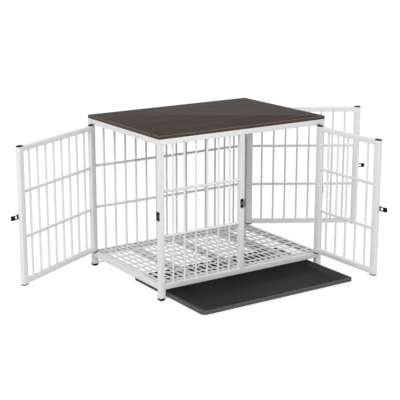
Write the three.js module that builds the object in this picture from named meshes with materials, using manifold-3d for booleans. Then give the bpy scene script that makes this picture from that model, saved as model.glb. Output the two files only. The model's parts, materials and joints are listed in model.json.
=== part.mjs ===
// Dog crate end table: a white welded-tube crate with a wooden top, three swinging
// doors with sliding latches, a slotted floor grate and a pull-out tray.
// Millimetres, +Z up. Pieces are laid out from the floor up (z = 0 at the floor), and
// the finished crate is then lowered so that the origin is at the middle of the
// table top's upper face. The front faces -Y and the left side faces -X.
import * as THREE from 'three';
import { mergeVertices } from 'three/addons/utils/BufferGeometryUtils.js';
import Module from 'manifold-3d';

const wasm = await Module();
wasm.setup();

// ---------------------------------------------------------------- driving dimensions
const WIDTH = 940; // 37 in
const DEPTH = 660; // 26 in
const HEIGHT = 765; // 30 in, to the top of the board
const BOARD = 16; // board thickness
const TUBE = 25; // square tube of the frame
const WALL = 1.5; // wall of every steel tube
const FOOT_FLANGE = 1.8; // how far a foot stands out round its post
const FOOT_HEIGHT = 12; // black cap under each post
const FLOOR_CLEARANCE = 53; // floor to the underside of the bottom frame
const MIDDLE_POST_X = -16.5; // centre of the post beside the front door

const STILE_WIDTH = 30; // door uprights, across the door
const DOOR_DEPTH = 20; // door tubes, through the door
const DOOR_RAIL_HEIGHT = 22;
const HINGE_GAP = 3; // door edge to the post at its hinge
const LATCH_GAP = 6; // door edge to the post that it closes against
const DOOR_END_GAP = 6.5; // door steel to the frame above and below
const CAP_PLATE = 5.5; // plastic cap plate on a stile's end
const PIVOT_INSET = 1.5; // hinge axis, from the stile's edge
const PIVOT_DEPTH = 3.5; // hinge axis, from the door's outer face
const PIVOT_RADIUS = 2.5;
const PIVOT_CLEARANCE = 0.05;
const PIVOT_LENGTH = 5.5; // pivot pin, past the cap plate
const PIVOT_SIDES = 16;

const BAR_RADIUS = 4.75;
const ROD_RADIUS = 6.35;
const ROD_HEIGHTS = [301, 510]; // horizontal rods, from the floor
const SIDE_DOOR_BARS = 8;
const FRONT_DOOR_BARS = 5;
const FRONT_PANEL_BARS = 6;
const BACK_PANEL_BARS = 14;
const DOOR_END_BAR = 50; // stile to the middle of the first bar
const PANEL_END_BAR = 53; // post to the middle of the first bar

const LEFT_OPEN = 61.5; // degrees that each door stands open
const FRONT_OPEN = 90;
const RIGHT_OPEN = 58;

const LATCH_HEIGHT = 398; // middle of the latches and keepers, from the floor
const KEEPER = { start: 7, end: 24, height: 43, depth: 4, endDepth: 2.2, flat: 29, skin: 1.5 };
const BUMPER = { thickness: 5, depth: 12, neck: 3 }; // strip between post and door edge

const GRATE_TOP = 85; // stands a little proud of the bottom frame
const GRATE_SHEET = 2.5; // thickness of the slotted sheet
const GRATE_GAP = 0.5; // grate edge to frame
const GRATE_RIM = 3; // wall down from the sheet's edge
const GRATE_RIB = { width: 6, webs: [-8, 0, 9] }; // ribs under webs, counted from the middle
const SLOT = { columns: 28, pitchX: 31.8, width: 20, rows: 8, pitchY: 66.4, length: 52 };
const SHORT_SLOT = { length: 26, y: 284 };
const BEAM_XS = [-252, 3, 274]; // middles of the tubes under the grate

const TRAY = { width: 860, depth: 600, top: 30, bottom: 14, wall: 2, radius: 20 };
const TRAY_RIM = 8; // flat rim around the basin
const TRAY_SLOPE = 32; // basin wall, across
const TRAY_OUT = 320; // how far the tray is pulled out
const RUNNER = { x: 380, width: 6, height: 4, arm: 322, tab: 3, tabLength: 23, gap: 0.3 };

const BOLT = { head: 4.5, dome: 2.2, shank: 2.5, length: 9, clearance: 0.35, y: 147 };

// --------------------------------------------------------------------- worked out
const halfWidth = WIDTH / 2;
const halfDepth = DEPTH / 2;
const innerX = halfWidth - TUBE; // inner faces of the side rails and posts
const innerY = halfDepth - TUBE;
const topRailTop = HEIGHT - BOARD;
const topRailBottom = topRailTop - TUBE;
const bottomRailTop = FLOOR_CLEARANCE + TUBE;
const doorBottom = bottomRailTop + DOOR_END_GAP;
const doorTop = topRailBottom - DOOR_END_GAP;
const pivotFromCorner = TUBE + HINGE_GAP + PIVOT_INSET;
const sideDoorWidth = DEPTH - 2 * TUBE - HINGE_GAP - LATCH_GAP;
const middlePostRight = MIDDLE_POST_X + TUBE / 2;
const middlePostLeft = MIDDLE_POST_X - TUBE / 2;
const frontDoorWidth = innerX - middlePostRight - HINGE_GAP - LATCH_GAP;

// ------------------------------------------------------------------------ materials
const finish = (color, roughness, metalness) =>
  new THREE.MeshStandardMaterial({ color, roughness, metalness });
const whiteSteel = finish('#eceef0', 0.45, 0.1);
const walnut = finish('#6e4a35', 0.6, 0);
const blackPlastic = finish('#1b1b1c', 0.5, 0);
const trayPlastic = finish('#2e2b2a', 0.55, 0);
const gratePlastic = finish('#e9ebec', 0.5, 0);
const zincSteel = finish('#c9cbcc', 0.35, 0.7);

// -------------------------------------------------------------------- solid helpers
function toSolid(geometry) {
  const bare = geometry.clone();
  bare.deleteAttribute('normal');
  bare.deleteAttribute('uv');
  const merged = mergeVertices(bare, 1e-4);
  return new wasm.Manifold(new wasm.Mesh({
    numProp: 3,
    vertProperties: new Float32Array(merged.attributes.position.array),
    triVerts: new Uint32Array(merged.index.array),
  }));
}

function toGeometry(solid) {
  const mesh = solid.getMesh();
  const geometry = new THREE.BufferGeometry();
  geometry.setAttribute('position', new THREE.BufferAttribute(mesh.vertProperties, 3));
  geometry.setIndex(new THREE.BufferAttribute(mesh.triVerts, 1));
  geometry.computeVertexNormals();
  return geometry;
}

const joined = (solids) => solids.reduce((all, solid) => all.add(solid));
const cutBy = (solid, tools) => tools.reduce((rest, tool) => rest.subtract(tool), solid);

// A block between two opposite corners.
function block([x0, y0, z0], [x1, y1, z1]) {
  const box = new THREE.BoxGeometry(Math.abs(x1 - x0), Math.abs(y1 - y0), Math.abs(z1 - z0));
  box.translate((x0 + x1) / 2, (y0 + y1) / 2, (z0 + z1) / 2);
  return toSolid(box);
}

// A round bar of the given radius between two points on a line along x, y or z.
function roundBar(start, end, radius, sides = 8) {
  const from = new THREE.Vector3(...start);
  const to = new THREE.Vector3(...end);
  const along = to.clone().sub(from);
  const bar = new THREE.CylinderGeometry(radius, radius, along.length(), sides, 1);
  bar.rotateY(Math.PI / sides);
  const turn = new THREE.Quaternion().setFromUnitVectors(
    new THREE.Vector3(0, 1, 0), along.clone().normalize());
  bar.applyQuaternion(turn);
  bar.translate(...from.add(to).multiplyScalar(0.5).toArray());
  return toSolid(bar);
}

// The bore of a tube between two corners: the walls are left round it, and it runs
// out past both ends along its axis by `past` (negative stops short of the ends).
function bore(low, high, axis, past = 1) {
  const from = low.map((value, i) => value + (i === axis ? -past : WALL));
  const to = high.map((value, i) => value - (i === axis ? -past : WALL));
  return block(from, to);
}

// A square or rectangular tube, open at both ends.
const openTube = (low, high, axis) => block(low, high).subtract(bore(low, high, axis));

const crate = new THREE.Group();

function addPiece(group, name, solid, material) {
  const mesh = new THREE.Mesh(toGeometry(solid), material);
  mesh.name = name;
  group.add(mesh);
}

// ----------------------------------------------------------------------- table top
function addTableTop() {
  const board = block([-halfWidth, -halfDepth, topRailTop], [halfWidth, halfDepth, HEIGHT]);
  addPiece(crate, 'table_top', board, walnut);
}

// -------------------------------------------------------------------- steel frame
// Where each door's hinge axis stands.
const hinges = {
  left: { x: -halfWidth + PIVOT_DEPTH, y: halfDepth - pivotFromCorner },
  front: { x: halfWidth - pivotFromCorner, y: -halfDepth + PIVOT_DEPTH },
  right: { x: halfWidth - PIVOT_DEPTH, y: halfDepth - pivotFromCorner },
};

// A hole for a hinge pin in the frame above and below a door.
function pivotHole({ x, y }, level) {
  const radius = (PIVOT_RADIUS + PIVOT_CLEARANCE) / Math.cos(Math.PI / PIVOT_SIDES);
  const reach = PIVOT_LENGTH + 0.5;
  return roundBar([x, y, level - reach], [x, y, level + reach], radius, PIVOT_SIDES);
}

// A hole through the outer wall of a side rail for a frame bolt.
function boltHole(side, y, z) {
  const radius = BOLT.shank + BOLT.clearance;
  const outside = side * (halfWidth + 1);
  const inside = side * (halfWidth - 2 * WALL);
  return roundBar([outside, y, z], [inside, y, z], radius / Math.cos(Math.PI / 8), 8);
}

const boltRows = { top: topRailTop - TUBE / 2, bottom: bottomRailTop - TUBE / 2 };

function addTopFrame() {
  for (const [place, side] of [['front', -1], ['back', 1]]) {
    const low = [-halfWidth, side > 0 ? innerY : -halfDepth, topRailBottom];
    const high = [halfWidth, side > 0 ? halfDepth : -innerY, topRailTop];
    const ventY = side * (halfDepth - TUBE / 2);
    const vent = roundBar([0, ventY, topRailTop - 5], [0, ventY, topRailTop + 5], 3, 12);
    const tools = [bore(low, high, 0, -WALL), vent];
    if (place === 'front') tools.push(pivotHole(hinges.front, topRailBottom));
    addPiece(crate, `top_rail_${place}`, cutBy(block(low, high), tools), whiteSteel);
  }
  for (const [place, side] of [['left', -1], ['right', 1]]) {
    const low = [side > 0 ? innerX : -halfWidth, -innerY, topRailBottom];
    const high = [side > 0 ? halfWidth : -innerX, innerY, topRailTop];
    const tools = [
      pivotHole(hinges[place], topRailBottom),
      boltHole(side, BOLT.y, boltRows.top),
      boltHole(side, -BOLT.y, boltRows.top),
    ];
    addPiece(crate, `top_rail_${place}`, cutBy(openTube(low, high, 1), tools), whiteSteel);
  }
}

function addBottomFrame() {
  for (const [place, side] of [['front', -1], ['back', 1]]) {
    const low = [-innerX, side > 0 ? innerY : -halfDepth, FLOOR_CLEARANCE];
    const high = [innerX, side > 0 ? halfDepth : -innerY, bottomRailTop];
    const tools = place === 'front' ? [pivotHole(hinges.front, bottomRailTop)] : [];
    addPiece(crate, `bottom_rail_${place}`, cutBy(openTube(low, high, 0), tools), whiteSteel);
  }
  for (const [place, side] of [['left', -1], ['right', 1]]) {
    const low = [side > 0 ? innerX : -halfWidth, -innerY, FLOOR_CLEARANCE];
    const high = [side > 0 ? halfWidth : -innerX, innerY, bottomRailTop];
    const tools = [
      pivotHole(hinges[place], bottomRailTop),
      boltHole(side, BOLT.y, boltRows.bottom),
      boltHole(side, -BOLT.y, boltRows.bottom),
    ];
    addPiece(crate, `bottom_rail_${place}`, cutBy(openTube(low, high, 1), tools), whiteSteel);
  }
}

const corners = [
  ['front_left', -1, -1],
  ['front_right', 1, -1],
  ['back_left', -1, 1],
  ['back_right', 1, 1],
];

function addPosts() {
  for (const [place, sideX, sideY] of corners) {
    const x = sideX * (halfWidth - TUBE / 2);
    const y = sideY * (halfDepth - TUBE / 2);
    const low = [x - TUBE / 2, y - TUBE / 2, FOOT_HEIGHT];
    const high = [x + TUBE / 2, y + TUBE / 2, topRailBottom];
    addPiece(crate, `post_${place}`, openTube(low, high, 2), whiteSteel);
  }
  const low = [middlePostLeft, -halfDepth, bottomRailTop];
  const high = [middlePostRight, -innerY, topRailBottom];
  addPiece(crate, 'post_front_middle', openTube(low, high, 2), whiteSteel);
}

// A black cap under each post, with a plug up inside the tube.
function addFeet() {
  const capHalf = TUBE / 2 + FOOT_FLANGE;
  const soleHalf = capHalf - 3;
  const plugHalf = TUBE / 2 - WALL - 0.3;
  const plugHeight = 16;
  for (const [place, sideX, sideY] of corners) {
    const x = sideX * (halfWidth - TUBE / 2);
    const y = sideY * (halfDepth - TUBE / 2);
    const around = (half, z0, z1) => block([x - half, y - half, z0], [x + half, y + half, z1]);
    const foot = joined([
      around(soleHalf, 0, 4),
      around(capHalf, 4, FOOT_HEIGHT),
      around(plugHalf, FOOT_HEIGHT - 1, FOOT_HEIGHT + plugHeight),
    ]);
    addPiece(crate, `foot_${place}`, foot, blackPlastic);
  }
}

// Uprights evenly spaced from `first` to `last`, and the horizontal rods that cross
// them, in the plane y = `depth`. Rods run from x0 to x1, and uprights from z0 to z1.
function grille({ x0, x1, z0, z1, depth, bars, first, last }) {
  const spacing = (last - first) / (bars - 1);
  const pieces = ROD_HEIGHTS.map((z) => roundBar([x0, depth, z], [x1, depth, z], ROD_RADIUS));
  for (let i = 0; i < bars; i += 1) {
    const x = first + i * spacing;
    pieces.push(roundBar([x, depth, z0], [x, depth, z1], BAR_RADIUS));
  }
  return joined(pieces);
}

function addPanels() {
  const middle = halfDepth - TUBE / 2;
  const panels = [
    ['front', -middle, middlePostLeft, FRONT_PANEL_BARS],
    ['back', middle, innerX, BACK_PANEL_BARS],
  ];
  for (const [place, depth, x1, bars] of panels) {
    const panel = grille({
      x0: -innerX,
      x1,
      first: -innerX + PANEL_END_BAR,
      last: x1 - PANEL_END_BAR,
      z0: bottomRailTop,
      z1: topRailBottom,
      depth,
      bars,
    });
    addPiece(crate, `${place}_panel_grille`, panel, whiteSteel);
  }
}

// Domed bolts through the outer walls of the side rails.
function addFrameBolts() {
  const profile = [new THREE.Vector2(0, -BOLT.length), new THREE.Vector2(BOLT.shank, -BOLT.length)];
  profile.push(new THREE.Vector2(BOLT.shank, 0), new THREE.Vector2(BOLT.head, 0));
  for (let i = 1; i < 3; i += 1) {
    const angle = (i / 3) * (Math.PI / 2);
    profile.push(new THREE.Vector2(BOLT.head * Math.cos(angle), BOLT.dome * Math.sin(angle)));
  }
  profile.push(new THREE.Vector2(0, BOLT.dome));
  for (const [row, z] of Object.entries(boltRows)) {
    for (const [place, side] of [['left', -1], ['right', 1]]) {
      for (const [end, y] of [['front', -BOLT.y], ['back', BOLT.y]]) {
        const bolt = new THREE.LatheGeometry(profile, 8);
        bolt.rotateZ(-side * Math.PI / 2);
        bolt.translate(side * halfWidth, y, z);
        addPiece(crate, `frame_bolt_${row}_${place}_${end}`, toSolid(bolt), zincSteel);
      }
    }
  }
}

// ---------------------------------------------------------------- floor and tray
// The edges of a row of slots along one axis, from one end of the grate to the other.
function slotEdges(end, slots) {
  const edges = slots.flatMap(({ middle, size }) => [middle - size / 2, middle + size / 2]);
  return [-end, ...edges, end];
}

// A flat plate pierced by a slot in every second cell of a grid of edges.
function piercedPlate(xs, ys, low, high) {
  const positions = [];
  for (const z of [low, high]) {
    for (const y of ys) {
      for (const x of xs) positions.push(x, y, z);
    }
  }
  const level = xs.length * ys.length;
  const at = (i, j, k) => k * level + j * xs.length + i;
  const isOpen = (i, j) => i < 0 || j < 0 || i > xs.length - 2 || j > ys.length - 2
    || (i % 2 === 1 && j % 2 === 1);
  const index = [];
  const quad = (a, b, c, d) => index.push(a, b, c, a, c, d);
  for (let i = 0; i + 1 < xs.length; i += 1) {
    for (let j = 0; j + 1 < ys.length; j += 1) {
      if (isOpen(i, j)) continue;
      quad(at(i, j, 1), at(i + 1, j, 1), at(i + 1, j + 1, 1), at(i, j + 1, 1));
      quad(at(i, j, 0), at(i, j + 1, 0), at(i + 1, j + 1, 0), at(i + 1, j, 0));
      if (isOpen(i, j - 1)) quad(at(i, j, 0), at(i + 1, j, 0), at(i + 1, j, 1), at(i, j, 1));
      if (isOpen(i + 1, j)) {
        quad(at(i + 1, j, 0), at(i + 1, j + 1, 0), at(i + 1, j + 1, 1), at(i + 1, j, 1));
      }
      if (isOpen(i, j + 1)) {
        quad(at(i + 1, j + 1, 0), at(i, j + 1, 0), at(i, j + 1, 1), at(i + 1, j + 1, 1));
      }
      if (isOpen(i - 1, j)) quad(at(i, j + 1, 0), at(i, j, 0), at(i, j, 1), at(i, j + 1, 1));
    }
  }
  const plate = new THREE.BufferGeometry();
  plate.setAttribute('position', new THREE.Float32BufferAttribute(positions, 3));
  plate.setIndex(index);
  return toSolid(plate);
}

function addFloor() {
  const columns = Array.from({ length: SLOT.columns }, (_, i) => (
    { middle: (i - (SLOT.columns - 1) / 2) * SLOT.pitchX, size: SLOT.width }));
  const rows = Array.from({ length: SLOT.rows }, (_, i) => (
    { middle: (i - (SLOT.rows - 1) / 2) * SLOT.pitchY, size: SLOT.length }));
  rows.unshift({ middle: -SHORT_SLOT.y, size: SHORT_SLOT.length });
  rows.push({ middle: SHORT_SLOT.y, size: SHORT_SLOT.length });
  const xs = slotEdges(innerX - GRATE_GAP, columns);
  const ys = slotEdges(innerY - GRATE_GAP, rows);
  const sheet = piercedPlate(xs, ys, GRATE_TOP - GRATE_SHEET, GRATE_TOP);
  const around = (inset) => block(
    [xs[0] + inset, ys[0] + inset, bottomRailTop + Math.min(0, -inset)],
    [-xs[0] - inset, -ys[0] - inset, GRATE_TOP - 1]);
  const rim = around(0).subtract(around(GRATE_RIM));
  const ribs = GRATE_RIB.webs.map((web) => {
    const x = web * SLOT.pitchX;
    return block(
      [x - GRATE_RIB.width / 2, ys[0] + 1, bottomRailTop],
      [x + GRATE_RIB.width / 2, -ys[0] - 1, GRATE_TOP - 1]);
  });
  addPiece(crate, 'floor_grate', joined([sheet, rim, ...ribs]), gratePlastic);

  ['left', 'middle', 'right'].forEach((place, i) => {
    const x = BEAM_XS[i];
    const low = [x - TUBE / 2, -innerY, FLOOR_CLEARANCE];
    const high = [x + TUBE / 2, innerY, bottomRailTop];
    addPiece(crate, `floor_beam_${place}`, openTube(low, high, 1), whiteSteel);
  });
}

// One ring of the tray: a rounded rectangle set in from the tray's edge.
function trayRing(inset, z) {
  const x = TRAY.width / 2 - inset;
  const y = TRAY.depth / 2 - inset;
  const radius = Math.max(TRAY.radius - inset, 6);
  const steps = 5;
  const ring = [];
  for (const [quarter, sideX, sideY] of [[0, 1, 1], [1, -1, 1], [2, -1, -1], [3, 1, -1]]) {
    for (let i = 0; i <= steps; i += 1) {
      const angle = (quarter + i / steps) * (Math.PI / 2);
      ring.push([
        sideX * (x - radius) + radius * Math.cos(angle),
        sideY * (y - radius) + radius * Math.sin(angle),
        z,
      ]);
    }
  }
  return ring;
}

// The tray: a skirt, a flat rim and sloped walls down to a flat floor, all of one
// sheet thickness. The rings run from the floor's upper face out over the rim and
// back under it to the floor's lower face.
function addTray() {
  const { top, bottom, wall } = TRAY;
  const foot = TRAY_RIM + TRAY_SLOPE;
  const rings = [
    trayRing(foot, bottom + wall),
    trayRing(TRAY_RIM, top),
    trayRing(0, top),
    trayRing(0, bottom),
    trayRing(wall, bottom),
    trayRing(wall, top - wall),
    trayRing(TRAY_RIM, top - wall),
    trayRing(foot, bottom),
  ];
  const count = rings[0].length;
  const positions = rings.flat(2);
  const upperCentre = rings.length * count;
  positions.push(0, 0, bottom + wall, 0, 0, bottom);
  const index = [];
  for (let i = 0; i < count; i += 1) {
    const next = (i + 1) % count;
    for (let r = 0; r + 1 < rings.length; r += 1) {
      const near = r * count;
      const far = near + count;
      index.push(near + i, far + i, far + next, near + i, far + next, near + next);
    }
    const last = (rings.length - 1) * count;
    index.push(upperCentre, i, next, upperCentre + 1, last + next, last + i);
  }
  const tray = new THREE.BufferGeometry();
  tray.setAttribute('position', new THREE.Float32BufferAttribute(positions, 3));
  tray.setIndex(index);
  tray.translate(0, -TRAY_OUT, 0);
  addPiece(crate, 'tray', toSolid(tray), trayPlastic);
}

// A thin bar under each side of the tray's floor, with an arm at each end out to a tab
// that is screwed to a post.
function addTrayRunners() {
  const top = TRAY.bottom - RUNNER.gap;
  const bottom = top - RUNNER.height;
  const half = RUNNER.width / 2;
  const ends = halfDepth - 1;
  const armEnd = innerX - FOOT_FLANGE - RUNNER.gap; // clear of the feet
  for (const [place, side] of [['left', -1], ['right', 1]]) {
    const pieces = [block(
      [side * (RUNNER.x - half), -RUNNER.arm, bottom],
      [side * (RUNNER.x + half), RUNNER.arm, top])];
    for (const end of [-1, 1]) {
      pieces.push(block(
        [side * (RUNNER.x - half), end * (RUNNER.arm - half), bottom],
        [side * armEnd, end * (RUNNER.arm + half), top]));
      pieces.push(block(
        [side * innerX, end * ends, FOOT_HEIGHT + RUNNER.gap],
        [side * (innerX - RUNNER.tab), end * (ends - RUNNER.tabLength), FLOOR_CLEARANCE - 1]));
      const screwY = end * (halfDepth - TUBE / 2);
      const screwX = side * (innerX - RUNNER.tab);
      pieces.push(roundBar([screwX + side, screwY, 41], [screwX - 2 * side, screwY, 41], 4, 10));
    }
    addPiece(crate, `tray_runner_${place}`, joined(pieces), whiteSteel);
  }
}

// ------------------------------------------------------------------------- keepers
// A plate on the outer face of the post that a door closes against, thickest at its
// middle, with a window for the latch hook, and a strip that fills the gap at the door's
// edge. u runs from the opening across the post's face, d in from the outer face.
function keeperSolid(place) {
  const { start, end, height, depth, endDepth, flat, skin } = KEEPER;
  const z = LATCH_HEIGHT;
  const profile = new THREE.Shape([
    [0, -height / 2], [endDepth, -height / 2], [depth, -flat / 2],
    [depth, flat / 2], [endDepth, height / 2], [0, height / 2],
  ].map(([out, up]) => new THREE.Vector2(out, up)));
  const plate = new THREE.ExtrudeGeometry(profile, { depth: end - start, bevelEnabled: false });
  // The profile's x, y and z run outwards, up and back along u.
  plate.applyMatrix4(new THREE.Matrix4().set(
    0, 0, -1, end,
    -1, 0, 0, 0,
    0, 1, 0, z,
    0, 0, 0, 1));
  const parts = joined([
    toSolid(plate),
    block([-BUMPER.thickness, -1, z - height / 2], [0, BUMPER.depth, z + height / 2]),
    block([-1, -1, z - BUMPER.neck / 2], [start + 1, 0, z + BUMPER.neck / 2]),
  ]);
  const window = block([start + 4, -depth - 1, z - 8], [end - 3, -0.4, z + 8]);
  const pocket = block([start + skin, -depth + skin, z - 8], [end - 3, -0.4, z + 8]);
  return place(cutBy(parts, [window, pocket]));
}

function addKeepers() {
  const toFrontLeftPost = (s) => s.rotate([0, 0, -90]).translate([-halfWidth, -innerY, 0]);
  const toFrontRightPost = (s) => s.mirror([0, 1, 0]).rotate([0, 0, -90])
    .translate([halfWidth, -innerY, 0]);
  const toMiddlePost = (s) => s.mirror([1, 0, 0]).translate([middlePostRight, -halfDepth, 0]);
  addPiece(crate, 'left_door_keeper', keeperSolid(toFrontLeftPost), blackPlastic);
  addPiece(crate, 'right_door_keeper', keeperSolid(toFrontRightPost), blackPlastic);
  addPiece(crate, 'front_door_keeper', keeperSolid(toMiddlePost), blackPlastic);
}

// --------------------------------------------------------------------------- doors
// A door is laid out shut along +x from its hinge axis, which is at x = 0, y = 0.
// Its outer face is at y = -PIVOT_DEPTH. A door of the other hand is mirrored in y.
function doorFrame(edge, bars) {
  const outer = -PIVOT_DEPTH;
  const inner = outer + DOOR_DEPTH;
  const near = -PIVOT_INSET;
  const far = edge;
  const leftStile = [[near, outer, doorBottom], [near + STILE_WIDTH, inner, doorTop]];
  const rightStile = [[far - STILE_WIDTH, outer, doorBottom], [far, inner, doorTop]];
  const railEnds = [near + STILE_WIDTH, far - STILE_WIDTH];
  const lowRail = [
    [railEnds[0], outer, doorBottom],
    [railEnds[1], inner, doorBottom + DOOR_RAIL_HEIGHT],
  ];
  const highRail = [
    [railEnds[0], outer, doorTop - DOOR_RAIL_HEIGHT],
    [railEnds[1], inner, doorTop],
  ];
  const solid = joined([leftStile, rightStile, lowRail, highRail].map(([a, b]) => block(a, b)));
  const bores = [
    bore(...leftStile, 2),
    bore(...rightStile, 2),
    bore(...lowRail, 0, 2 * WALL),
    bore(...highRail, 0, 2 * WALL),
  ];
  const weld = WALL / 2; // how far bars and rods run into the tubes' walls
  const filling = grille({
    x0: railEnds[0] - weld,
    x1: railEnds[1] + weld,
    first: railEnds[0] + DOOR_END_BAR,
    last: railEnds[1] - DOOR_END_BAR,
    z0: doorBottom + DOOR_RAIL_HEIGHT - weld,
    z1: doorTop - DOOR_RAIL_HEIGHT + weld,
    depth: (outer + inner) / 2,
    bars,
  });
  return cutBy(solid, bores).add(filling);
}

// A plastic cap on the end of a stile that starts at x: a plate, and a plug inside
// the tube. `up` is 1 for the cap at the top and -1 for the one at the bottom.
function stileCap(x, up) {
  const end = up > 0 ? doorTop : doorBottom;
  const gap = 0.3;
  const plug = 14;
  const outer = -PIVOT_DEPTH;
  const inset = WALL + gap;
  return joined([
    block([x, outer, end + up * gap], [x + STILE_WIDTH, outer + DOOR_DEPTH, end + up * CAP_PLATE]),
    block(
      [x + inset, outer + inset, end - up * plug],
      [x + STILE_WIDTH - inset, outer + DOOR_DEPTH - inset, end + up * 2 * gap]),
  ]);
}

// The cap at the hinge: it carries the pivot pin that turns in the frame.
function hingeCap(up) {
  const plate = (up > 0 ? doorTop : doorBottom) + up * CAP_PLATE;
  const tip = plate + up * PIVOT_LENGTH;
  const pin = roundBar([0, 0, plate - up], [0, 0, tip], PIVOT_RADIUS, PIVOT_SIDES);
  return stileCap(-PIVOT_INSET, up).add(pin);
}

// The latch plate on the free stile: a base, a web between the bolt's prongs, and a
// flange over them. Depths here are negative, outside the door's outer face.
const latch = {
  gap: 0.3,
  base: 4.5, // outer face of the base, from the door's face
  prongDepth: 3.7,
  flange: 2,
  webHalf: 5.5, // half height of the web
  prongHeight: 4.2,
  plateHalf: 13, // half height of the base
  reach: 36, // bolt end, past the door's edge
  block: 17, // bolt end block, along
  blockDepth: 10,
};

function latchPlate(edge) {
  const from = edge - 28;
  const to = edge - 2;
  const face = -PIVOT_DEPTH;
  const z = LATCH_HEIGHT;
  const flangeInner = face - latch.base - latch.prongDepth - 2 * latch.gap;
  return joined([
    block([from, face - latch.gap, z - latch.plateHalf], [to, face - latch.base, z + latch.plateHalf]),
    block([from, face - 1, z - latch.webHalf], [to, flangeInner - 1, z + latch.webHalf]),
    block(
      [from, flangeInner, z - latch.plateHalf + 2],
      [to, flangeInner - latch.flange, z + latch.plateHalf - 2]),
  ]);
}

// The sliding bolt: two prongs that run along the web, a thick end, and a hook that
// goes in through the keeper's window and slides behind its edge.
function latchBolt(edge) {
  const z = LATCH_HEIGHT;
  const prongInner = -PIVOT_DEPTH - latch.base - latch.gap;
  const prongOuter = prongInner - latch.prongDepth;
  const blockStart = edge + latch.reach - latch.block;
  const blockHalf = latch.webHalf + latch.gap + latch.prongHeight;
  const pieces = [block(
    [blockStart, prongInner, z - blockHalf],
    [edge + latch.reach, prongInner - latch.blockDepth, z + blockHalf])];
  for (const side of [-1, 1]) {
    const near = z + side * (latch.webHalf + latch.gap);
    pieces.push(block(
      [edge - 24, prongInner, near],
      [blockStart + 1, prongOuter, near + side * latch.prongHeight]));
  }
  const neckDepth = -PIVOT_DEPTH - 0.9;
  pieces.push(block([edge + 23.5, prongInner - 1, z - 5], [edge + 26, neckDepth, z + 5]));
  pieces.push(block([edge + 21, neckDepth - 1.2, z - 5], [edge + 26, neckDepth, z + 5]));
  return joined(pieces);
}

// One door on its hinge axis. `hand` is 1 where the door's inside is on the left of
// the line from the hinge to the latch, and -1 where it is on the right.
function addDoor(name, { hinge, shut, open, hand, width, bars }) {
  const group = new THREE.Group();
  group.position.set(hinge.x, hinge.y, 0);
  group.rotation.z = THREE.MathUtils.degToRad(shut - hand * open);
  crate.add(group);
  const edge = width - PIVOT_INSET;
  const add = (piece, solid, material) => {
    const turned = hand > 0 ? solid : solid.mirror([0, 1, 0]);
    addPiece(group, `${name}_door_${piece}`, turned, material);
  };
  add('frame', doorFrame(edge, bars), whiteSteel);
  add('hinge_cap_top', hingeCap(1), blackPlastic);
  add('hinge_cap_bottom', hingeCap(-1), blackPlastic);
  add('end_cap_top', stileCap(edge - STILE_WIDTH, 1), blackPlastic);
  add('end_cap_bottom', stileCap(edge - STILE_WIDTH, -1), blackPlastic);
  add('latch_plate', latchPlate(edge), blackPlastic);
  add('latch_bolt', latchBolt(edge), blackPlastic);
}

function addDoors() {
  const side = { width: sideDoorWidth, bars: SIDE_DOOR_BARS, shut: -90 };
  addDoor('left', { ...side, hinge: hinges.left, open: LEFT_OPEN, hand: 1 });
  addDoor('right', { ...side, hinge: hinges.right, open: RIGHT_OPEN, hand: -1 });
  addDoor('front', {
    hinge: hinges.front,
    shut: 180,
    open: FRONT_OPEN,
    hand: -1,
    width: frontDoorWidth,
    bars: FRONT_DOOR_BARS,
  });
}

addTableTop();
addTopFrame();
addBottomFrame();
addPosts();
addFeet();
addPanels();
addFrameBolts();
addFloor();
addTray();
addTrayRunners();
addKeepers();
addDoors();

// The origin moves from the floor to the middle of the table top's upper face.
crate.position.z = -HEIGHT;
const part = new THREE.Group();
part.add(crate);
part.updateMatrixWorld(true);

export default part;
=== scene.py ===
"""Finished surfaces of a dog crate end table, built around its fixed frame.

Every length is in metres and every piece takes its place from the frame's nodes: the
origin is the middle of the table top's upper face, +X is right and -Y is the front.
"""

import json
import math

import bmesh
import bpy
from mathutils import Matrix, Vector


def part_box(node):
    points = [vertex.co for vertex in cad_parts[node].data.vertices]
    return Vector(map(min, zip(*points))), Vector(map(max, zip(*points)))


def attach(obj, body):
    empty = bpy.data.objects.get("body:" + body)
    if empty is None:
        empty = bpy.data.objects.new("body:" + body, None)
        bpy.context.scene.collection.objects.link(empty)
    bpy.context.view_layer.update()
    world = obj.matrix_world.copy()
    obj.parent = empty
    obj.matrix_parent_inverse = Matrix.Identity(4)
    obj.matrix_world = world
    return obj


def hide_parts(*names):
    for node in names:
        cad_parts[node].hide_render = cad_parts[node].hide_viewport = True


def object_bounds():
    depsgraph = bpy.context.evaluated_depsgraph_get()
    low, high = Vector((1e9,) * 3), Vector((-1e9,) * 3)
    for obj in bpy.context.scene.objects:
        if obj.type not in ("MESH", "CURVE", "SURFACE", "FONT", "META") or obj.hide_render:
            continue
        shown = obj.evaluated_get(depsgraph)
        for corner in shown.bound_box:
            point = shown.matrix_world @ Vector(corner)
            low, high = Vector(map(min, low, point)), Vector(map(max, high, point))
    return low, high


bl_info = {
    "name": "Dog Crate End Table",
    "version": (1, 0, 0),
    "blender": (4, 5, 0),
    "location": "3D View > Sidebar > Crate Table",
    "description": "A steel dog crate with a walnut top: its tubes, bars, grate, tray and latches",
    "category": "Object",
}

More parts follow.
